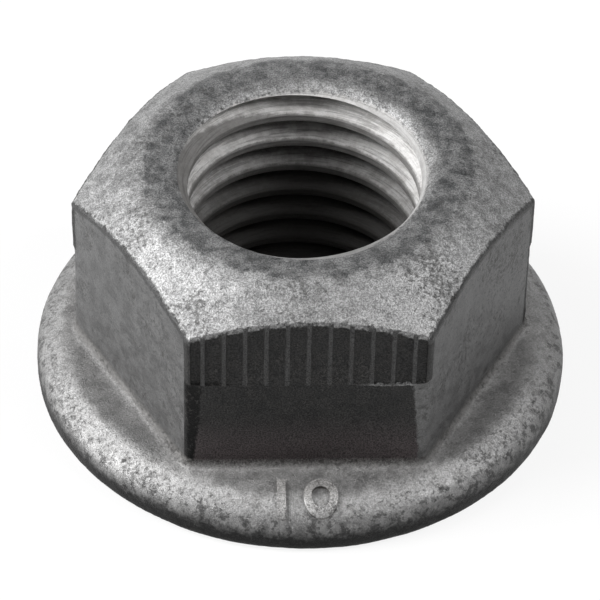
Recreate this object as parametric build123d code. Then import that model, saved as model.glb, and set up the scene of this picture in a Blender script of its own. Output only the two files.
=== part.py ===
from build123d import *
from math import cos, pi, radians, sqrt, tan
import os

# Serrated hexagon flange nut, one forged piece of steel, in millimetres.
# The origin is the centre of the bearing face and +Z runs up the thread axis.
# One flat of the hexagon faces -Y.

# Thread: metric coarse, right hand
THREAD_DIAMETER = 16.0
THREAD_PITCH = 2.0

# Hexagon and crown
ACROSS_FLATS = 24.0
NUT_HEIGHT = 15.7
CORNER_ROUND = 0.7          # forged rounding along the six upright corners
CROWN_DIAMETER = 20.0       # flat ring on top, inside the chamfer
CHAMFER_ANGLE = 35.0        # below the horizontal, in degrees
CROWN_ROUND = 2.5           # soft turn from the chamfer to the flat ring
MOUTH_ROUND = 1.1           # bell mouth of the hole in the crown

# Flange. Its shares are of the ledge between a corner of the hexagon and the rim.
FLANGE_DIAMETER = 32.4
RIM_HEIGHT = 2.0
FLANGE_SLOPE = 26.0         # fall of the flange's upper side, in degrees
RIM_SHARE = 0.6             # radius of the rim's upper edge
STEP_SHARE = 0.22           # level step round the hexagon's foot
FOOT_SHARE = 0.17           # radius of the fillet at the hexagon's foot
RIM_BASE_BEVEL = 0.3        # lower edge of the rim

# Bearing face, with ratchet teeth that bite when the nut is loosened
ENTRY_DIAMETER = 17.3       # countersink of the hole in the bearing face
ENTRY_ANGLE = 90.0          # included angle of that countersink, in degrees
TOOTH_COUNT = 30
TOOTH_DEPTH = 0.35          # at the outer end, falling in step with the radius
TOOTH_LAND = 0.3            # share of each tooth's pitch that stays flat
TOOTH_RAKE = 0.05           # share of the pitch that the steep side takes
ENTRY_LAND = 1.6            # plain ring between the countersink and the teeth
RIM_LAND = 0.9              # plain ring between the teeth and the rim

# Ribbed press marks that pinch the thread, on every other flat
MARK_COUNT = 3
MARK_REACH = 6.2            # from the crown down to the mark's lower end
RIB_PITCH = 1.22
RIB_WIDTH = 0.22
HOLLOW_DEPTH = 0.2          # of the scallops between the ribs

# Values that follow from the ones above
THREAD_DEPTH = 5 / 8 * THREAD_PITCH * sqrt(3) / 2
MINOR_RADIUS = THREAD_DIAMETER / 2 - THREAD_DEPTH
APOTHEM = ACROSS_FLATS / 2
CORNER_RADIUS = APOTHEM / cos(radians(30))
FLANGE_RADIUS = FLANGE_DIAMETER / 2
LEDGE = FLANGE_RADIUS - CORNER_RADIUS
STEP_RADIUS = CORNER_RADIUS + STEP_SHARE * LEDGE
STEP_HEIGHT = RIM_HEIGHT + (FLANGE_RADIUS - STEP_RADIUS) * tan(radians(FLANGE_SLOPE))
CLEAR = 1.0                 # how far the cutting solids run past the nut


def turned(points, round_at, radius):
    """Solid of revolution from a half section of (radius, height) points.

    The corner of the section at points[round_at] gets the given radius.
    """
    section = make_face(Polyline(*points, close=True))
    corner = section.vertices().sort_by_distance((*points[round_at], 0))[0]
    return revolve(Plane.XZ * fillet(corner, radius), Axis.Z)


def hexagon():
    """Upright hexagon with forged corners, from the bearing face to the top."""
    prism = extrude(RegularPolygon(CORNER_RADIUS, 6), NUT_HEIGHT)
    return fillet(prism.edges().filter_by(Axis.Z), CORNER_ROUND)


def crown():
    """Turned solid that gives the hexagon its chamfer and its flat ring."""
    reach = CORNER_RADIUS + CLEAR
    ring = CROWN_DIAMETER / 2
    fall = (reach - ring) * tan(radians(CHAMFER_ANGLE))
    chamfer_foot = (reach, NUT_HEIGHT - fall)
    points = [(0, 0), (reach, 0), chamfer_foot, (ring, NUT_HEIGHT), (0, NUT_HEIGHT)]
    return turned(points, 3, CROWN_ROUND)


def flange():
    """Round flange: bevelled base, rounded rim, sloping side and level step."""
    base = [(FLANGE_RADIUS - RIM_BASE_BEVEL, 0), (FLANGE_RADIUS, RIM_BASE_BEVEL)]
    rim = (FLANGE_RADIUS, RIM_HEIGHT)
    step = [(STEP_RADIUS, STEP_HEIGHT), (0, STEP_HEIGHT)]
    return turned([(0, 0), *base, rim, *step], 3, RIM_SHARE * LEDGE)


def forging():
    """The solid blank: hexagon and flange, with a fillet where they meet."""
    blank = (hexagon() & crown()) + flange()
    steps = [face for face in blank.faces().filter_by(Axis.Z) if face.inner_wires()]
    return fillet(steps[0].inner_wires()[0].edges(), FOOT_SHARE * LEDGE)


def hole():
    """Hole at the thread's minor diameter, with its bell mouth and countersink."""
    entry_radius = ENTRY_DIAMETER / 2
    entry_slope = tan(radians(ENTRY_ANGLE / 2))
    entry_depth = (entry_radius - MINOR_RADIUS) / entry_slope
    below, above = -CLEAR, NUT_HEIGHT + CLEAR
    entry = [(entry_radius + CLEAR * entry_slope, below), (MINOR_RADIUS, entry_depth)]
    mouth_start = (MINOR_RADIUS, NUT_HEIGHT - MOUTH_ROUND)
    mouth_end = (MINOR_RADIUS + MOUTH_ROUND, NUT_HEIGHT)
    outline = [
        Polyline((0, above), (0, below), *entry, mouth_start),
        RadiusArc(mouth_start, mouth_end, MOUTH_ROUND),
        Polyline(mouth_end, (MINOR_RADIUS + MOUTH_ROUND, above), (0, above)),
    ]
    return revolve(Plane.XZ * make_face(outline), Axis.Z)


def press_marks():
    """Rows of upright scallops, with a thin rib left between neighbours."""
    width = RIB_PITCH - RIB_WIDTH
    radius = (width**2 / 4 + HOLLOW_DEPTH**2) / (2 * HOLLOW_DEPTH)
    ribs = int(2 * APOTHEM * tan(radians(30)) / RIB_PITCH)
    scallop = extrude(Circle(radius), MARK_REACH + CLEAR)
    bottom = NUT_HEIGHT - MARK_REACH
    row = [
        Pos((place - ribs / 2) * RIB_PITCH, HOLLOW_DEPTH - APOTHEM - radius, bottom) * scallop
        for place in range(ribs + 1)
    ]
    return [Rot(0, 0, 360 / MARK_COUNT * mark) * hollow for mark in range(MARK_COUNT) for hollow in row]


def tooth_gaps():
    """Ratchet gaps in the bearing face, steep towards the loosening side."""
    inner = ENTRY_DIAMETER / 2 + ENTRY_LAND
    outer = FLANGE_RADIUS - RIM_LAND
    ends = []
    for radius in (inner, outer):
        pitch = 2 * pi * radius / TOOTH_COUNT
        depth = TOOTH_DEPTH * radius / outer
        width = pitch * (1 - TOOTH_LAND)
        crest, valley, far_crest = (0, 0), (pitch * TOOTH_RAKE, depth), (width, 0)
        outline = Polyline((0, -CLEAR), crest, valley, far_crest, (width, -CLEAR), close=True)
        ends.append(Plane((radius, 0, 0), x_dir=(0, 1, 0), z_dir=(1, 0, 0)) * make_face(outline))
    gap = loft(ends, ruled=True)
    return [Rot(0, 0, 360 / TOOTH_COUNT * tooth) * gap for tooth in range(TOOTH_COUNT)]


def flange_nut():
    """The finished nut."""
    nut = forging() - hole()
    nut -= press_marks()
    nut -= tooth_gaps()
    return nut


os.makedirs("parts", exist_ok=True)
export_step(flange_nut(), "parts/flange_nut.step")
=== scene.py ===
from math import atan2, cos, hypot, pi, radians, sin, sqrt, tan
from types import SimpleNamespace

import bpy
from mathutils import Matrix, Vector


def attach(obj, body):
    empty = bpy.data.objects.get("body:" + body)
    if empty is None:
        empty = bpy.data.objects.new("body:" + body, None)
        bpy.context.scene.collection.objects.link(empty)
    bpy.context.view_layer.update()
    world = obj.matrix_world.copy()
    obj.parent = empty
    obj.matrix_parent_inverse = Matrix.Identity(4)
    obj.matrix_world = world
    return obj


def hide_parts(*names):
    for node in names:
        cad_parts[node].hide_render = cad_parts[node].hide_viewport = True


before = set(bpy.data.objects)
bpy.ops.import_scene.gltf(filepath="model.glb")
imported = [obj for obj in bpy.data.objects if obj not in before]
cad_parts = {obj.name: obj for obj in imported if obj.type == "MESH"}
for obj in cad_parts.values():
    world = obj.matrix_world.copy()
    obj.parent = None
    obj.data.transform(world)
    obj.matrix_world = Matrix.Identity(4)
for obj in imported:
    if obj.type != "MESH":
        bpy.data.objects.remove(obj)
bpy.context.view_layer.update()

# The nut is modelled in millimetres and brought to metres at the end.
MM = 0.001

# Thread: metric coarse, right hand
THREAD_DIAMETER = 16.0
THREAD_PITCH = 2.0
THREAD_START = 0.12         # height at which the middle of one turn crosses the +X side
FLANK_ANGLE = 30.0
GROOVE_TURNS = 12           # enough to run out past both ends
GROOVE_STEPS = 80           # facets in each turn
CREST_FLARE = 0.12          # softening of each crest's edges
CORE_OVERLAP = 0.12         # how far the groove's tool reaches into the bore

# Hexagon and crown
ACROSS_FLATS = 24.0
NUT_HEIGHT = 15.7
CORNER_ROUND = 0.2
CROWN_DIAMETER = 20.0       # flat ring on top, inside the chamfer
CHAMFER_ANGLE = 35.0
CROWN_ROUND = 3.0           # soft turn from the chamfer to the flat ring
MOUTH_ROUND = 1.2

# Flange
FLANGE_DIAMETER = 32.4
RIM_HEIGHT = 2.0
FLANGE_SLOPE = 26.0
RIM_SHARE = 0.6             # radius of the rim, as a share of the ledge at a corner
STEP_SHARE = 0.22           # level step round the hexagon, as a share of that ledge
RIM_BASE_ROUND = 0.3

# Bearing face
ENTRY_DIAMETER = 17.3
TOOTH_COUNT = 30
TOOTH_DEPTH = 0.35
TOOTH_LAND = 0.3            # share of the pitch that stays flat
TOOTH_RAKE = 0.05           # share of the pitch that the steep side takes
ENTRY_LAND = 1.6            # plain ring between the countersink and the teeth
RIM_LAND = 0.9              # plain ring between the teeth and the rim

# Ribbed press marks on every other flat
MARK_COUNT = 3
MARK_REACH = 6.15           # from the crown down to the marks' lower ends
RIB_PITCH = 1.22
RIB_WIDTH = 0.24
RIB_COUNT = 11
HOLLOW_ROUND = 0.08
HOLLOW_DEPTH = 0.2          # at the crown
HOLLOW_FADE = 0.15          # at the lower end of the outermost hollows
REAR_MARKS_OUT = 0.1        # the two rear marks are pressed less deep by this much
CORNER_STRIP = 0.12         # plain strip left between the last hollow and the corner
PINCH_WIDTH = 0.85          # facet that the press leaves at each corner, at its upper end
PINCH_END = 0.3             # the same facet at the foot
PINCH_SIDE = 0.3            # how far it reaches onto the neighbouring flat

# Strength class, raised on the flange's upper side
CLASS_PLACE = 14.57         # from the axis to the middle of the digits
DIGIT_HEIGHT = 2.46
DIGIT_STROKE = 0.46
DIGIT_RELIEF = 0.24
CLASS_SHIFT = -0.37         # from the middle of the flat
DIGIT_GAP = 1.155           # from the axis plane to the middle of each digit
ZERO_WIDTH = 2.02
CLASS_FIELD = (4.8, 2.94)   # width and length of the plain field that holds the digits

# Forged surface
FOOT_REACH = 1.2            # how far up the soft foot of the hexagon goes
FOOT_OUT = 0.8              # how far past the corners it goes
FOOT_IN = 0.6               # and how far inside the flats
FOOT_SMOOTHING = 60
SKIN_SMOOTHING = 2
ROUGH_CROWN = (0.3, 3.2)    # depths below the top between which the chamfer is rough
ROUGH_CROWN_IN = 0.5        # how far the roughness runs inside the flat ring
FORGING_WAVES = (3.2, 0.10)     # size and height of each unevenness
CROWN_LUMPS = (0.5, 0.07)
SKIN_GRAIN = (0.28, 0.035)
VOXEL = 0.13
KEPT_TRIANGLES = 120000
SOFT_EDGE = 42.0            # edges that turn less than this are shaded smooth

# Values that follow from the ones above
THREAD_RADIUS = THREAD_DIAMETER / 2
THREAD_DEPTH = 5 / 8 * THREAD_PITCH * sqrt(3) / 2
MINOR_RADIUS = THREAD_RADIUS - THREAD_DEPTH
APOTHEM = ACROSS_FLATS / 2
CORNER_RADIUS = APOTHEM / cos(radians(30))
FLANGE_RADIUS = FLANGE_DIAMETER / 2
SLOPE = tan(radians(FLANGE_SLOPE))
LEDGE = FLANGE_RADIUS - CORNER_RADIUS
RIM_ROUND = RIM_SHARE * LEDGE
STEP_RADIUS = CORNER_RADIUS + STEP_SHARE * LEDGE
STEP_HEIGHT = RIM_HEIGHT + (FLANGE_RADIUS - STEP_RADIUS) * SLOPE
MARK_LOW = NUT_HEIGHT - MARK_REACH
ROOT_HALF = THREAD_PITCH / 16       # half the flat at the thread's root
ONE_WIDTH = DIGIT_STROKE * 1.1
ZERO_HOLE = (ZERO_WIDTH - 2 * DIGIT_STROKE, DIGIT_HEIGHT - 2.4 * DIGIT_STROKE)
DIGIT_EDGE = DIGIT_RELIEF * 0.3

# Making
TURN_STEPS = 180            # facets round a turned solid
CLEAR = 1.0                 # how far a cutting tool runs past the nut
HEXAGON_LOW = 0.5           # lower end of the hexagon, hidden in the flange
HEAD_OVERLAP = 0.05         # between the hexagon's pinched part and its head
DOUBLES = 0.0005            # points nearer than this are one


def focus(piece):
    """Selects one piece alone and makes it the active one."""
    bpy.ops.object.select_all(action="DESELECT")
    piece.select_set(True)
    bpy.context.view_layer.objects.active = piece


def finish_with(piece, kind, **settings):
    """Adds a modifier to the piece and applies it."""
    focus(piece)
    modifier = piece.modifiers.new(kind, kind)
    for setting, value in settings.items():
        setattr(modifier, setting, value)
    bpy.ops.object.modifier_apply(modifier=modifier.name)


def combine(piece, tool, operation):
    """Cuts, fuses or intersects the piece with a tool, which is used up."""
    finish_with(piece, "BOOLEAN", object=tool, operation=operation, solver="EXACT")
    bpy.data.objects.remove(tool)


def join(pieces):
    """One object from several."""
    bpy.ops.object.select_all(action="DESELECT")
    for piece in pieces:
        piece.select_set(True)
    bpy.context.view_layer.objects.active = pieces[0]
    bpy.ops.object.join()
    return pieces[0]


def arc(middle, radius, start, end, steps):
    """Points of an arc from one angle to another, both in degrees."""
    angles = [radians(start + (end - start) * step / steps) for step in range(steps + 1)]
    return [(middle[0] + radius * cos(angle), middle[1] + radius * sin(angle)) for angle in angles]


def drawn_line(name, points):
    """A line drawn point by point in the XZ plane, left in edit mode."""
    bpy.ops.object.select_all(action="DESELECT")
    bpy.ops.mesh.primitive_plane_add(size=1)
    piece = bpy.context.object
    piece.name = name
    bpy.ops.object.mode_set(mode="EDIT")
    bpy.ops.mesh.select_mode(type="VERT")
    bpy.ops.mesh.merge(type="CENTER")
    bpy.ops.transform.translate(value=(points[0][0], 0, points[0][1]))
    for (x0, z0), (x1, z1) in zip(points, points[1:]):
        bpy.ops.mesh.extrude_region_move(TRANSFORM_OT_translate={"value": (x1 - x0, 0, z1 - z0)})
    return piece


def close_and_leave():
    """Merges doubled points, turns the faces outwards and leaves edit mode."""
    bpy.ops.mesh.select_all(action="SELECT")
    bpy.ops.mesh.remove_doubles(threshold=DOUBLES)
    bpy.ops.mesh.normals_make_consistent(inside=False)
    bpy.ops.object.mode_set(mode="OBJECT")


def turned(name, outline):
    """A closed solid spun from a half outline that starts and ends on the axis."""
    piece = drawn_line(name, outline)
    bpy.ops.mesh.select_all(action="SELECT")
    bpy.ops.mesh.spin(steps=TURN_STEPS, angle=2 * pi, center=(0, 0, 0), axis=(0, 0, 1))
    close_and_leave()
    return piece


def hexagon(name, low, high):
    """An upright hexagon with rounded corners, with one flat facing -Y."""
    bpy.ops.object.select_all(action="DESELECT")
    bpy.ops.mesh.primitive_cylinder_add(
        vertices=6, radius=CORNER_RADIUS, depth=high - low, location=(0, 0, (low + high) / 2),
        rotation=(0, 0, radians(30)),
    )
    piece = bpy.context.object
    piece.name = name
    bpy.ops.object.transform_apply()
    mesh = piece.data
    for face in mesh.polygons:
        face.select = False
    for point in mesh.vertices:
        point.select = False
    for edge in mesh.edges:
        first, second = (mesh.vertices[index].co for index in edge.vertices)
        edge.select = abs(first.z - second.z) > CLEAR
    bpy.ops.object.mode_set(mode="EDIT")
    bpy.ops.mesh.select_mode(type="EDGE")
    bpy.ops.mesh.bevel(offset=CORNER_ROUND, segments=4, affect="EDGES")
    close_and_leave()
    return piece


def crown():
    """The turned outside of the nut's top: chamfer, soft shoulder and domed lip."""
    reach = CORNER_RADIUS + CLEAR
    ring = CROWN_DIAMETER / 2
    tangent = CROWN_ROUND * tan(radians(CHAMFER_ANGLE / 2))
    middle = (ring - tangent, NUT_HEIGHT - CROWN_ROUND)
    shoulder = arc(middle, CROWN_ROUND, 90 - CHAMFER_ANGLE, 90, steps=8)
    outer = (reach, NUT_HEIGHT - (reach - ring) * tan(radians(CHAMFER_ANGLE)))
    return turned("crown", [(0, 0), (reach, 0), outer, *shoulder, (0, NUT_HEIGHT)])


def flange(raised=0.0):
    """The round flange, or its upper side raised by a little."""
    turn = 90 - FLANGE_SLOPE
    tangent = RIM_ROUND * tan(radians(turn / 2))
    rim_middle = (FLANGE_RADIUS - RIM_ROUND, RIM_HEIGHT - tangent)
    rim = arc(rim_middle, RIM_ROUND + raised, 0, turn, steps=6)
    base_middle = (FLANGE_RADIUS - RIM_BASE_ROUND, RIM_BASE_ROUND)
    base = arc(base_middle, RIM_BASE_ROUND, -90, 0, steps=4)
    step = (STEP_RADIUS + raised * tan(radians(FLANGE_SLOPE / 2)), STEP_HEIGHT + raised)
    return turned("flange", [(0, 0), *base, *rim, step, (0, step[1])])


def flange_height(radius):
    """Height of the flange's upper side at a distance from the axis."""
    return min(STEP_HEIGHT, RIM_HEIGHT + (FLANGE_RADIUS - radius) * SLOPE)


def pinched(piece):
    """Cuts the slanting facet at each side of the marked flats, below the press marks."""
    corner = Vector((CORNER_RADIUS / 2, -APOTHEM, MARK_LOW))
    along_side = corner + PINCH_SIDE * Vector((0.5, cos(radians(30)), 0))
    upper = corner - Vector((PINCH_WIDTH, 0, 0))
    lower = corner - Vector((PINCH_END, 0, MARK_LOW - STEP_HEIGHT))
    outward = (upper - along_side).cross(lower - along_side).normalized()
    focus(piece)
    bpy.ops.object.mode_set(mode="EDIT")
    for _ in range(MARK_COUNT):
        for side in (-1, 1):
            place = (side * upper.x, upper.y, upper.z)
            facing = (side * outward.x, outward.y, outward.z)
            bpy.ops.mesh.select_all(action="SELECT")
            bpy.ops.mesh.bisect(plane_co=place, plane_no=facing, use_fill=True, clear_outer=True)
        bpy.ops.mesh.select_all(action="SELECT")
        bpy.ops.transform.rotate(value=2 * pi / MARK_COUNT, orient_axis="Z", center_override=(0, 0, 0))
    close_and_leave()
    return piece


def disc(width, length, height):
    """An upright oval disc standing through the ground."""
    bpy.ops.object.select_all(action="DESELECT")
    bpy.ops.mesh.primitive_cylinder_add(vertices=48, radius=0.5, depth=height)
    piece = bpy.context.object
    piece.scale = (width, length, 1)
    bpy.ops.object.transform_apply()
    return piece


def class_digits():
    """The raised digits 1 and 0, which follow the flange's upper side."""
    bpy.ops.object.select_all(action="DESELECT")
    bpy.ops.mesh.primitive_cube_add(size=1)
    one = bpy.context.object
    one.scale = (ONE_WIDTH, DIGIT_HEIGHT, STEP_HEIGHT)
    bpy.ops.object.transform_apply()
    zero = disc(ZERO_WIDTH, DIGIT_HEIGHT, STEP_HEIGHT)
    combine(zero, disc(*ZERO_HOLE, 2 * STEP_HEIGHT), "DIFFERENCE")
    for digit, across in ((one, -DIGIT_GAP), (zero, DIGIT_GAP)):
        digit.location = (CLASS_SHIFT + across, -CLASS_PLACE, STEP_HEIGHT)
    digits = join([one, zero])
    focus(digits)
    bpy.ops.object.transform_apply()
    combine(digits, flange(DIGIT_RELIEF), "INTERSECT")
    finish_with(digits, "BEVEL", width=DIGIT_EDGE, segments=2)
    return digits


def bore():
    """The tool for the hole: countersink, core and bell mouth."""
    entry = ENTRY_DIAMETER / 2
    mouth_middle = (MINOR_RADIUS + MOUTH_ROUND, NUT_HEIGHT - MOUTH_ROUND)
    mouth = arc(mouth_middle, MOUTH_ROUND, 180, 90, steps=10)
    below, above = -CLEAR, NUT_HEIGHT + CLEAR
    outline = [(0, below), (entry + CLEAR, below), (MINOR_RADIUS, entry - MINOR_RADIUS), *mouth]
    return turned("bore", [*outline, (mouth[-1][0], above), (0, above)])


def thread_groove():
    """The tool for the thread: one trapezoid wound up round the core."""
    inner = MINOR_RADIUS - CORE_OVERLAP
    flank = tan(radians(FLANK_ANGLE))
    wide = ROOT_HALF + (THREAD_RADIUS - inner) * flank
    start = THREAD_START - 2 * THREAD_PITCH
    flare = MINOR_RADIUS + CREST_FLARE
    narrow = ROOT_HALF + (THREAD_RADIUS - flare) * flank
    half = [(inner, wide + CREST_FLARE), (flare, narrow), (THREAD_RADIUS, ROOT_HALF)]
    section = [(x, -z) for x, z in half] + half[::-1]
    piece = drawn_line("thread groove", [(x, z + start) for x, z in section])
    bpy.ops.mesh.select_all(action="SELECT")
    bpy.ops.mesh.edge_face_add()
    bpy.ops.object.mode_set(mode="OBJECT")
    finish_with(
        piece, "SCREW", axis="Z", angle=2 * pi, screw_offset=THREAD_PITCH, iterations=GROOVE_TURNS,
        steps=GROOVE_STEPS, render_steps=GROOVE_STEPS, use_merge_vertices=False,
    )
    focus(piece)
    bpy.ops.object.mode_set(mode="EDIT")
    bpy.ops.mesh.select_all(action="SELECT")
    bpy.ops.mesh.fill_holes(sides=len(section))
    close_and_leave()
    return piece


def hollow(width):
    """The tool for one hollow of a press mark, hung from its upper end at the origin."""
    tall = MARK_REACH + CLEAR
    bpy.ops.object.select_all(action="DESELECT")
    bpy.ops.mesh.primitive_cube_add(size=1, location=(0, -CLEAR / 2, CLEAR - tall / 2))
    piece = bpy.context.object
    piece.scale = (width, CLEAR, tall)
    bpy.ops.object.transform_apply()
    finish_with(piece, "BEVEL", width=HOLLOW_ROUND, segments=2)
    return piece


def copies(piece, places):
    """Joins copies of a piece, one at each place, with the piece used up."""
    made = []
    for place in places:
        copy = piece.copy()
        copy.data = piece.data.copy()
        bpy.context.collection.objects.link(copy)
        copy.matrix_world = place
        made.append(copy)
    bpy.data.objects.remove(piece)
    joined = join(made)
    bpy.ops.object.transform_apply()
    return joined


def hollow_places(across):
    """Where each hollow hangs: it leans out, so that it fades towards its lower end."""
    places = []
    for x in across:
        fade = HOLLOW_FADE * (x / (APOTHEM / 2)) ** 2
        lean = atan2(HOLLOW_DEPTH - fade, MARK_REACH)
        hang = Matrix.Translation((x, HOLLOW_DEPTH - APOTHEM, NUT_HEIGHT))
        places.append(hang @ Matrix.Rotation(-lean, 4, "X"))
    return places


def press_marks():
    """The tools for the three rows of hollows."""
    half = RIB_COUNT // 2
    inner = [(place - half + 0.5) * RIB_PITCH for place in range(RIB_COUNT - 1)]
    last_rib = half * RIB_PITCH + RIB_WIDTH / 2
    strip = CORNER_RADIUS / 2 - CORNER_STRIP
    ends = [side * (last_rib + strip) / 2 for side in (-1, 1)]
    inner_hollows = copies(hollow(RIB_PITCH - RIB_WIDTH), hollow_places(inner))
    end_hollows = copies(hollow(strip - last_rib), hollow_places(ends))
    row = join([inner_hollows, end_hollows])
    places = []
    for mark in range(MARK_COUNT):
        out = Matrix.Translation((0, -REAR_MARKS_OUT * (mark > 0), 0))
        places.append(Matrix.Rotation(2 * pi * mark / MARK_COUNT, 4, "Z") @ out)
    return copies(row, places)


def tooth_gaps():
    """The tools for the ratchet gaps in the bearing face."""
    inner = ENTRY_DIAMETER / 2 + ENTRY_LAND
    outer = FLANGE_RADIUS - RIM_LAND
    pitch = 2 * pi * inner / TOOTH_COUNT
    depth = TOOTH_DEPTH * inner / outer
    width = pitch * (1 - TOOTH_LAND)
    section = [(0, -CLEAR), (0, 0), (pitch * TOOTH_RAKE, depth), (width, 0), (width, -CLEAR)]
    piece = drawn_line("tooth gap", section)
    bpy.ops.mesh.select_all(action="SELECT")
    bpy.ops.mesh.edge_face_add()
    bpy.ops.mesh.extrude_region_move(TRANSFORM_OT_translate={"value": (0, inner - outer, 0)})
    grow = outer / inner
    bpy.ops.transform.resize(value=(grow, 1, grow), center_override=(0, 0, 0))
    close_and_leave()
    stand = Matrix.Rotation(pi / 2, 4, "Z") @ Matrix.Translation((0, -inner, 0))
    turns = [Matrix.Rotation(2 * pi * tooth / TOOTH_COUNT, 4, "Z") for tooth in range(TOOTH_COUNT)]
    return copies(piece, [turn @ stand for turn in turns])


def weighted(piece, name, weight):
    """A vertex group whose weights come from a rule on a point's place."""
    group = piece.vertex_groups.new(name=name)
    for point in piece.data.vertices:
        share = weight(point.co)
        if share > 0:
            group.add([point.index], min(share, 1), "REPLACE")
    return group.name


def near_foot(place):
    """1 where the hexagon meets the flange, falling to 0 about a millimetre away."""
    radius = hypot(place.x, place.y)
    above = place.z - flange_height(radius)
    if above > FOOT_REACH or radius > CORNER_RADIUS + FOOT_OUT or radius < APOTHEM - FOOT_IN:
        return 0
    return 1 - max(above, 0) / FOOT_REACH


def on_crown(place):
    """1 on the chamfer and 0 on the flats and round the mouth."""
    radius = hypot(place.x, place.y)
    low_enough = ROUGH_CROWN[0] < NUT_HEIGHT - place.z < ROUGH_CROWN[1]
    return low_enough * (radius > CROWN_DIAMETER / 2 - ROUGH_CROWN_IN)


def roughen(piece, kind, size, height, **more):
    """Pushes the surface in and out by a cloudy pattern."""
    pattern = bpy.data.textures.new(kind, "CLOUDS")
    pattern.noise_scale = size
    pattern.noise_depth = 2
    finish_with(
        piece, "DISPLACE", texture=pattern, texture_coords="LOCAL", strength=height, mid_level=0.5, **more
    )


def forging():
    """The forged blank with its soft edges, wavy faces and rough crown."""
    blank = pinched(hexagon("flange nut", HEXAGON_LOW, MARK_LOW + HEAD_OVERLAP))
    combine(blank, hexagon("pressed head", MARK_LOW, NUT_HEIGHT + CLEAR), "UNION")
    combine(blank, crown(), "INTERSECT")
    blank = join([blank, flange()])
    finish_with(blank, "REMESH", mode="VOXEL", voxel_size=VOXEL, adaptivity=0)
    finish_with(blank, "SMOOTH", factor=0.5, iterations=SKIN_SMOOTHING)
    foot = weighted(blank, "foot", near_foot)
    finish_with(blank, "SMOOTH", factor=0.5, iterations=FOOT_SMOOTHING, vertex_group=foot)
    roughen(blank, "forging waves", *FORGING_WAVES)
    rough = weighted(blank, "rough crown", on_crown)
    roughen(blank, "crown lumps", *CROWN_LUMPS, vertex_group=rough)
    roughen(blank, "skin grain", *SKIN_GRAIN)
    blank.vertex_groups.clear()
    share = KEPT_TRIANGLES / (2 * len(blank.data.polygons))
    finish_with(blank, "DECIMATE", ratio=min(share, 1))
    return blank


def flange_nut():
    """The finished nut, in metres."""
    nut = forging()
    tap = bore()
    combine(tap, thread_groove(), "UNION")
    combine(nut, join([tap, press_marks(), tooth_gaps()]), "DIFFERENCE")
    combine(nut, class_digits(), "UNION")
    focus(nut)
    bpy.ops.object.mode_set(mode="EDIT")
    close_and_leave()
    nut.scale = (MM, MM, MM)
    bpy.ops.object.transform_apply()
    bpy.ops.object.shade_smooth_by_angle(angle=radians(SOFT_EDGE))
    return nut


# Camera
VIEW_ELEVATION = 43.452
VIEW_TURN = -2.473          # round the nut, from straight in front
VIEW_ROLL = 1.31
VIEW_DISTANCE = 218.917
VIEW_TARGET = (-0.076, 0.003, 4.938)
LENS = 215.26


def camera():
    """The camera at its place, looking down at the nut."""
    turn = Matrix.Rotation(radians(VIEW_TURN), 4, "Z")
    tilt = Matrix.Rotation(radians(90 - VIEW_ELEVATION), 4, "X")
    roll = Matrix.Rotation(radians(VIEW_ROLL), 4, "Z")
    back = Matrix.Translation((0, 0, VIEW_DISTANCE * MM))
    data = bpy.data.cameras.new("camera")
    data.lens = LENS
    data.sensor_width = 36
    data.clip_start = 0.01
    data.clip_end = 20
    eye = bpy.data.objects.new("camera", data)
    bpy.context.collection.objects.link(eye)
    target = Matrix.Translation([side * MM for side in VIEW_TARGET])
    eye.matrix_world = target @ turn @ tilt @ back @ roll
    bpy.context.scene.camera = eye


def lamp(name, place, width, power):
    """A square soft light that points at the nut, with its place in metres."""
    data = bpy.data.lights.new(name, "AREA")
    data.shape = "SQUARE"
    data.size = width
    data.energy = power
    light = bpy.data.objects.new(name, data)
    bpy.context.collection.objects.link(light)
    light.location = place
    light.rotation_euler = light.location.to_track_quat("Z", "Y").to_euler()


class Wire:
    """The output of a shader node, which can be used in sums."""

    def __init__(self, finish, socket):
        self.finish = finish
        self.socket = socket

    def maths(self, operation, *values):
        return self.finish.add("ShaderNodeMath", {"operation": operation}, *values)

    def __add__(self, other):
        return self.maths("ADD", self, other)

    def __radd__(self, other):
        return self.maths("ADD", other, self)

    def __sub__(self, other):
        return self.maths("SUBTRACT", self, other)

    def __rsub__(self, other):
        return self.maths("SUBTRACT", other, self)

    def __mul__(self, other):
        return self.maths("MULTIPLY", self, other)

    def __rmul__(self, other):
        return self.maths("MULTIPLY", other, self)

    def __pow__(self, other):
        return self.maths("POWER", self, other)

    def __rpow__(self, other):
        return self.maths("POWER", other, self)


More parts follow.
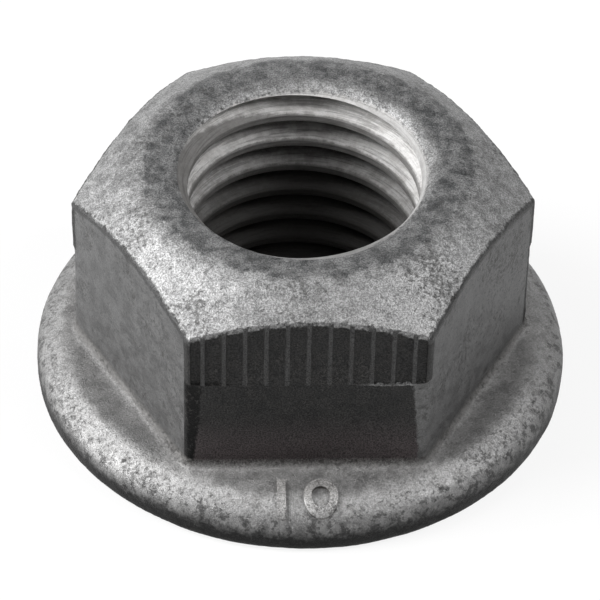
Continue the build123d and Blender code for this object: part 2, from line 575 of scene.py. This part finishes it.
class Finish:
    """A material that is built node by node."""

    def __init__(self, name):
        self.material = bpy.data.materials.new(name)
        self.material.use_nodes = True
        self.tree = self.material.node_tree
        self.tree.nodes.clear()

    def add(self, kind, settings=None, *values, output=0, **named):
        """A node with its settings, then its sockets by order or by name, as one of its outputs."""
        node = self.tree.nodes.new(kind)
        for setting, value in (settings or {}).items():
            setattr(node, setting, value)
        by_name = {socket.identifier.replace(" ", "_"): socket for socket in node.inputs}
        sockets = list(zip(node.inputs, values))
        sockets += [(by_name[name], value) for name, value in named.items()]
        for socket, value in sockets:
            if isinstance(value, Wire):
                self.tree.links.new(value.socket, socket)
            else:
                socket.default_value = value
        return Wire(self, node.outputs[output]) if len(node.outputs) else None

    def least(self, first, second):
        """The smaller of two values."""
        return self.add("ShaderNodeMath", {"operation": "MINIMUM"}, first, second)

    def most(self, first, second):
        """The larger of two values."""
        return self.add("ShaderNodeMath", {"operation": "MAXIMUM"}, first, second)

    def rise(self, value, start, end):
        """0 up to start and 1 from end on, with a smooth climb between them."""
        soft = {"interpolation_type": "SMOOTHSTEP"}
        return self.add("ShaderNodeMapRange", soft, value, start, end, 0.0, 1.0)

    def between(self, value, start, end, edge):
        """1 between start and end, fading to 0 over the edge on both sides."""
        return self.rise(value, start - edge, start) * (1 - self.rise(value, end, end + edge))

    def cloud(self, place, scale, detail, rough):
        """Cloudy noise from 0 to 1, with the given number of cells in a millimetre."""
        settings = {"noise_dimensions": "3D"}
        return self.add(
            "ShaderNodeTexNoise", settings, Vector=place, Scale=scale, Detail=detail, Roughness=rough
        )

    def blend(self, share, first, second):
        """A colour between two others."""
        kind = {"data_type": "RGBA"}
        return self.add("ShaderNodeMix", kind, Factor_Float=share, A_Color=first, B_Color=second, output=2)


def grey(level, warmth=0.0):
    """A grey, turned a little to brown by warmth or to blue by a negative one."""
    return (level * (1 + warmth), level, level * (1 - warmth), 1)


# Studio, in metres and watts
FLOOR_SIZE = 8.0
FLOOR_DROP = 0.0001         # the floor lies this much under the nut
BACKDROP_RADIUS = 3.0
BACKDROP_HEIGHT = 1.2
WHITE_GREY = 0.85
GLOW_SHARE = 0.85
GLOW_FREE = (0.008, 0.0095)     # the floor's glow isn't mirrored this near to the hole's axis
WORLD_STRENGTH = 0.04
LAMPS = {
    "left light": ((-0.36, 0.00, 0.38), 0.28, 2.8),
    "low left light": ((-0.50, -0.05, 0.12), 0.20, 2.15),
    "left rear light": ((-0.40, 0.30, 0.12), 0.20, 0.3),
    "overhead light": ((0.00, -0.04, 0.50), 0.24, 0.12),
    "front light": ((0.03, -0.28, 0.40), 0.20, 0.15),
    "right light": ((0.34, -0.08, 0.40), 0.22, 1.6),
    "rear light": ((0.00, 0.45, 0.22), 0.25, 0.25),
}


def matt_white(name, seen_through):
    """A matt white that glows a little; from behind it can be made invisible."""
    white = Finish(name)
    glow = white.add("ShaderNodeEmission", None, grey(1.0), 1.0)
    matt = white.add("ShaderNodeBsdfDiffuse", None, grey(WHITE_GREY))
    camera_ray = white.add("ShaderNodeLightPath", output="Is Camera Ray")
    glossy_ray = white.add("ShaderNodeLightPath", output="Is Glossy Ray")
    place = white.add("ShaderNodeTexCoord", output="Object")
    from_axis = white.add("ShaderNodeVectorMath", {"operation": "LENGTH"}, place, output="Value")
    seen = white.most(camera_ray, glossy_ray * white.rise(from_axis, *GLOW_FREE))
    face = white.add("ShaderNodeMixShader", None, seen * GLOW_SHARE, matt, glow)
    clear = white.add("ShaderNodeBsdfTransparent")
    back = white.add("ShaderNodeNewGeometry", output="Backfacing") * seen_through
    white.add("ShaderNodeOutputMaterial", None, white.add("ShaderNodeMixShader", None, back, face, clear))
    return white.material


def studio():
    """Floor, low backdrop all round, dim world and soft lights."""
    bpy.ops.object.select_all(action="DESELECT")
    bpy.ops.mesh.primitive_plane_add(size=FLOOR_SIZE, location=(0, 0, -FLOOR_DROP))
    floor = bpy.context.object
    floor.name = "floor"
    floor.data.materials.append(matt_white("white floor", 1.0))
    bpy.ops.object.select_all(action="DESELECT")
    bpy.ops.mesh.primitive_cylinder_add(
        vertices=96, radius=BACKDROP_RADIUS, depth=BACKDROP_HEIGHT, end_fill_type="NOTHING"
    )
    backdrop = bpy.context.object
    backdrop.name = "backdrop"
    backdrop.data.materials.append(matt_white("white backdrop", 0.0))
    world = bpy.data.worlds.new("studio")
    bpy.context.scene.world = world
    world.use_nodes = True
    air = world.node_tree.nodes["Background"]
    air.inputs["Color"].default_value = grey(1.0)
    air.inputs["Strength"].default_value = WORLD_STRENGTH
    for name, (place, width, power) in LAMPS.items():
        lamp(name, place, width, power)
    bpy.context.scene.view_settings.view_transform = "Standard"


# Greys of the coat, each from its darker to its lighter patches
FLAT_GREYS = (grey(0.090), grey(0.135))
# Painted shade: the pressed flats are made near black.
PRESSED_SHADE_GREYS = (grey(0.019), grey(0.029, 0.02))
FLANGE_GREYS = (grey(0.22, 0.01), grey(0.30, 0.01))
CROWN_GREYS = (grey(0.205), grey(0.325))
THREAD_GREYS = (grey(0.50, 0.02), grey(0.68, 0.01))

# Greys of what lies on the coat, and of the painted shade, highlights and reflection on it
PRESSED_FOOT_REFLECTION = (0.066, 0.056, 0.057, 1)
RIB_GREY = grey(0.10)
FACET_SHADE_GREY = grey(0.004)
LEDGE_HIGHLIGHT_GREY = grey(0.34)
FOOT_STAIN_AND_SHADE_GREY = grey(0.12, 0.03)
DIGIT_HIGHLIGHT_GREY = grey(0.42, 0.02)
DIGIT_WALL_SHADE_GREY = grey(0.10, 0.1)
WORN_RIM_GREY = grey(0.44)
RIM_BLOTCH_AND_SHADE_GREY = grey(0.06)
RIM_SHADE_GREY = grey(0.009)
EDGE_SHADE_GREY = grey(0.02)
LIP_GREY = grey(0.07, -0.03)
ROOT_SHADE_GREY = grey(0.07, 0.08)
MOUTH_SHADE_GREY = grey(0.15)
SCRATCH_GREY = grey(0.12, 0.03)
CREST_SHADE_GREY = grey(0.09, 0.05)
DEEP_SHADE_GREY = grey(0.012, 0.12)
DIRT_GREY = grey(0.05, 0.04)


def surface_places(steel):
    """Where a point of the surface lies, in millimetres."""
    metres = steel.add("ShaderNodeTexCoord", output="Object")
    place = steel.add("ShaderNodeVectorMath", {"operation": "SCALE"}, metres, Scale=1 / MM)
    across, along, height = [
        steel.add("ShaderNodeSeparateXYZ", None, place, output=axis) for axis in ("X", "Y", "Z")
    ]
    radius = (across * across + along * along) ** 0.5
    return SimpleNamespace(place=place, across=across, along=along, height=height, radius=radius)


def coat_patterns(steel, at):
    """Adds the patterns of the coat and the threading tool's scratches."""
    patches = steel.cloud(at.place, 0.3, 3.0, 0.55)
    at.mottle = steel.rise(steel.cloud(at.place, 1.1, 5.0, 0.65), 0.36, 0.62)
    at.blots = steel.rise(steel.cloud(at.place, 1.7, 5.0, 0.7), 0.50, 0.60)
    at.flakes = steel.cloud(at.place, 4.0, 4.0, 0.7)
    at.grain = steel.cloud(at.place, 10.0, 2.0, 0.8)
    at.wander = (at.mottle - 0.5) * 0.35 + (at.flakes - 0.5) * 1.2
    at.dirt = steel.rise(at.flakes * 0.6 + patches * 0.25 + at.grain * 0.15, 0.52, 0.60)
    lines = steel.add("ShaderNodeCombineXYZ", None, at.radius * 9.0, at.height * 9.0, patches * 3.0)
    at.scratches = steel.cloud(lines, 1.0, 3.0, 0.7)


def main_regions(steel, at):
    """Adds the crown, the flange, the foot and the hole, most with wandering borders."""
    cone = NUT_HEIGHT - (at.radius - CROWN_DIAMETER / 2) * tan(radians(CHAMFER_ANGLE))
    at.below_crown = steel.least(cone, NUT_HEIGHT) - at.height
    slope = RIM_HEIGHT + (FLANGE_RADIUS - at.radius) * SLOPE
    at.above_flange = at.height - steel.least(slope, STEP_HEIGHT)
    under_lip = 1 - steel.rise(at.height + at.wander * 0.3, NUT_HEIGHT - 0.45, NUT_HEIGHT - 0.2)
    at.inside = (1 - steel.rise(at.radius, THREAD_RADIUS + 0.3, THREAD_RADIUS + 0.4)) * under_lip
    at.on_crown = (1 - steel.rise(at.below_crown + at.wander * 0.3, 0.2, 0.4)) * (1 - at.inside)
    at.on_flange = 1 - steel.rise(at.above_flange + at.wander * 0.4, 0.0, 0.5)
    well_in = 1 - steel.rise(at.radius, FLANGE_RADIUS - 2.0, FLANGE_RADIUS - 1.4)
    at.foot = steel.between(at.above_flange, 0.15, 0.5, 0.12) * well_in


def flat_places(steel, at):
    """Adds how far out a point lies towards a marked flat or any flat, and how far along it."""
    at.outward, at.hexagonal, at.sideways = 0.0, 0.0, 0.0
    for mark in range(MARK_COUNT):
        turn = radians(360 / MARK_COUNT * mark - 90)
        out = at.across * cos(turn) + at.along * sin(turn)
        near = steel.rise(out, APOTHEM - 1.0, APOTHEM - 0.9)
        at.outward = steel.most(at.outward, out)
        at.hexagonal = steel.most(at.hexagonal, steel.most(out, 0 - out))
        at.sideways = at.sideways + (at.along * cos(turn) - at.across * sin(turn)) * near


def on_facet(steel, at, from_corner):
    """1 on the facet that the press leaves beside a corner, by the distance from that corner."""
    widening = (PINCH_WIDTH - PINCH_END) / (MARK_LOW - STEP_HEIGHT)
    width = (at.height - STEP_HEIGHT) * widening + PINCH_END
    return 1 - steel.rise(from_corner + at.wander * 0.3, width - 0.1, width + 0.1)


def flat_colour(steel, at):
    """Satin flats, and pressed ones painted dark as shade, with lighter ribs, a painted reflection near
    the foot, a painted highlight on the ledge under them and painted shade on their left facet.
    """
    in_band = steel.rise(at.height, MARK_LOW - 0.1, MARK_LOW)
    right_facet = on_facet(steel, at, CORNER_RADIUS / 2 - at.sideways) * (1 - in_band)
    left_facet = on_facet(steel, at, CORNER_RADIUS / 2 + at.sideways) * (1 - in_band)
    marked = steel.rise(at.outward, APOTHEM - 0.5, APOTHEM - 0.4) * (1 - right_facet)
    at.on_marks = marked * (1 - at.on_crown) * (1 - at.on_flange)
    from_rib = steel.add("ShaderNodeMath", {"operation": "PINGPONG"}, at.sideways, RIB_PITCH / 2)
    on_ribs = (1 - steel.rise(from_rib, RIB_WIDTH * 0.4, RIB_WIDTH * 0.7)) * in_band
    on_ledge = steel.between(at.height + at.wander * 0.2, MARK_LOW - 0.08, MARK_LOW + 0.02, 0.05)
    # Painted highlight: a bright ledge under the right part of each press mark.
    low_ledge = on_ledge * steel.rise(at.sideways + at.wander, 2.5, 4.5) * marked * (1 - at.mottle * 0.6)
    flats = steel.blend(at.mottle, *FLAT_GREYS)
    # Painted shade: the pressed flats are near black.
    pressed = steel.blend(at.mottle, *PRESSED_SHADE_GREYS)
    # Painted reflection: the pressed flats turn lighter towards the foot.
    pressed = steel.blend(1 - steel.rise(at.height, 3.6, 7.5), pressed, PRESSED_FOOT_REFLECTION)
    pressed = steel.blend(on_ribs * (0.05 + at.flakes * 0.65), pressed, RIB_GREY)
    colour = steel.blend(at.on_marks, flats, pressed)
    # Painted shade: the facet at the left of each pressed flat is made near black.
    colour = steel.blend(at.on_marks * left_facet, colour, FACET_SHADE_GREY)
    return steel.blend(low_ledge * 0.6, colour, LEDGE_HIGHLIGHT_GREY)


def flange_colour(steel, at, colour):
    """Light flange with a brownish foot that is partly painted shade, worn and blotched near its rim,
    whose side is painted dark as shade.
    """
    near_rim = steel.rise(at.radius + at.wander * 1.2, FLANGE_RADIUS - 2.0, FLANGE_RADIUS - 1.2)
    rim_edge = steel.rise(at.radius + at.wander * 1.4, FLANGE_RADIUS - 1.2, FLANGE_RADIUS - 0.3)
    outermost = steel.rise(at.radius, FLANGE_RADIUS - 1.2, FLANGE_RADIUS - 0.7)
    on_rim = (1 - steel.rise(at.height + at.wander * 0.8, 0.8, 2.1)) * outermost
    colour = steel.blend(at.on_flange, colour, steel.blend(at.mottle, *FLANGE_GREYS))
    # Brownish foot: partly a stain and partly painted shade in the crease where the hexagon meets the
    # flange.
    colour = steel.blend(at.foot * 0.6, colour, FOOT_STAIN_AND_SHADE_GREY)
    colour = digit_colour(steel, at, colour)
    colour = steel.blend(near_rim * (1 - at.blots) * 0.35, colour, WORN_RIM_GREY)
    # Dark blotches, and painted shade that darkens the rounded rim.
    colour = steel.blend(rim_edge * (0.35 + at.blots * 0.5), colour, RIM_BLOTCH_AND_SHADE_GREY)
    # Painted shade: the rim's outer side is made near black.
    return steel.blend(on_rim, colour, RIM_SHADE_GREY)


def digit_colour(steel, at, colour):
    """Painted highlight on the tops and painted shade on the walls of the raised digits."""
    half_width = CLASS_FIELD[0] / 2
    inner_side = CLASS_FIELD[1] / 2 - CLASS_PLACE
    from_class = steel.most(at.across - CLASS_SHIFT, CLASS_SHIFT - at.across)
    far_out = 1 - steel.rise(at.along, inner_side, inner_side + 0.1)
    at_class = (1 - steel.rise(from_class, half_width, half_width + 0.1)) * far_out
    tops = steel.rise(at.above_flange, 0.13, 0.2) * at_class
    walls = steel.between(at.above_flange + at.grain * 0.03, 0.07, 0.15, 0.03) * at_class
    # Painted highlight on the digits' tops, then painted shade on their walls.
    colour = steel.blend(tops * 0.6, colour, DIGIT_HIGHLIGHT_GREY)
    return steel.blend(walls * 0.8, colour, DIGIT_WALL_SHADE_GREY)


def crown_colour(steel, at, colour):
    """Speckled crown with a line of painted shade along its edge and a ring of stain round the mouth."""
    at_edge = steel.rise(at.hexagonal + at.wander * 0.3, APOTHEM - 0.22, APOTHEM - 0.06)
    at_edge = at_edge * (1 - steel.rise(at.below_crown + at.wander * 0.3, 0.25, 0.5))
    shift = steel.rise(at.along + at.across * 0.5, 0.0, 6.0) * 0.8
    ring = at.radius + at.wander * 0.9 - shift
    on_lip = steel.between(ring, MINOR_RADIUS + 0.7, CROWN_DIAMETER / 2 - 0.7, 0.4) * at.on_crown
    colour = steel.blend(at.on_crown, colour, steel.blend(at.mottle, *CROWN_GREYS))
    # Painted shade: a dark line along the edge between the chamfer and the flats.
    colour = steel.blend(at_edge * 0.85, colour, EDGE_SHADE_GREY)
    return steel.blend(on_lip * (0.3 + at.blots * 0.35 + (1 - at.mottle) * 0.25), colour, LIP_GREY)


def thread_colour(steel, at, colour):
    """Bright cut thread, scratched, with painted shade in its roots, on its crests, deep in the hole and
    round the right and front of its mouth.
    """
    depth = at.radius - steel.most(MINOR_RADIUS, at.height - NUT_HEIGHT + THREAD_RADIUS + 0.65)
    in_root = steel.rise(depth, 0.5, 1.1)
    below_mouth = 1 - steel.rise(at.height, NUT_HEIGHT - 1.0, NUT_HEIGHT - 0.8)
    on_crest = (1 - steel.rise(depth + at.wander * 0.1, 0.03, 0.15)) * below_mouth
    at_mouth = steel.rise(at.height + at.wander * 0.3, NUT_HEIGHT - 1.2, NUT_HEIGHT - 0.9)
    # Painted shade on the right and front of the mouth.
    shade_on_mouth = steel.most(steel.rise(at.across, 1.0, 5.0) * 0.45, steel.rise(0 - at.along, 3.0, 6.0) * 0.75)
    # Painted shade, darker lower in the hole and more so at the rear.
    deep = 1 - steel.rise(at.height - at.along * 0.4 + at.wander, 5.0, 11.8)
    colour = steel.blend(at.inside, colour, steel.blend(at.mottle, *THREAD_GREYS))
    # Painted shade in the thread's roots.
    colour = steel.blend(at.inside * in_root * 0.35, colour, ROOT_SHADE_GREY)
    colour = steel.blend(at.inside * at_mouth * shade_on_mouth, colour, MOUTH_SHADE_GREY)
    colour = steel.blend(at.inside * steel.rise(at.scratches, 0.45, 0.65) * 0.5, colour, SCRATCH_GREY)
    # Painted shade on the crests.
    colour = steel.blend(at.inside * on_crest * 0.7, colour, CREST_SHADE_GREY)
    return steel.blend(at.inside * deep * 0.96, colour, DEEP_SHADE_GREY)


def zinc_flake_steel():
    """The coated steel of the whole nut."""
    steel = Finish("zinc flake steel")
    at = surface_places(steel)
    coat_patterns(steel, at)
    main_regions(steel, at)
    flat_places(steel, at)

    colour = flat_colour(steel, at)
    colour = flange_colour(steel, at, colour)
    colour = crown_colour(steel, at, colour)
    colour = thread_colour(steel, at, colour)
    outside = 1 - at.inside
    colour = steel.blend(at.dirt * outside * (1 - at.on_flange * 0.5) * 0.6, colour, DIRT_GREY)
    contrast = 0.4 + at.on_crown * 0.4 + at.on_marks * 0.7 - at.inside * 0.3
    sparkle = 1 + (steel.rise(at.grain, 0.36, 0.64) - 0.5) * contrast
    colour = steel.add("ShaderNodeVectorMath", {"operation": "SCALE"}, colour, Scale=sparkle)

    # Relief too fine for the mesh, and the threading tool's lines
    skin = at.grain * 0.5 + at.flakes * 0.7 - at.dirt * 0.5
    relief = at.inside * at.scratches * 0.8 + outside * skin
    bump = steel.add("ShaderNodeBump", None, Strength=0.6, Distance=0.09 * MM, Height=relief)

    roughness = 0.46 + at.mottle * 0.10 + at.dirt * 0.12 + at.foot * 0.2 + at.inside * 0.2
    metallic = 0.8 - at.inside * 0.4
    surface = steel.add(
        "ShaderNodeBsdfPrincipled",
        None,
        Base_Color=colour,
        Metallic=metallic,
        Roughness=roughness,
        Normal=bump,
    )
    steel.add("ShaderNodeOutputMaterial", None, Surface=surface)
    return steel.material


nut = flange_nut()
nut.name = "flange_nut_dressed"
nut.data.materials.clear()
nut.data.materials.append(zinc_flake_steel())
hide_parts("flange_nut")
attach(nut, "root")
studio()
camera()
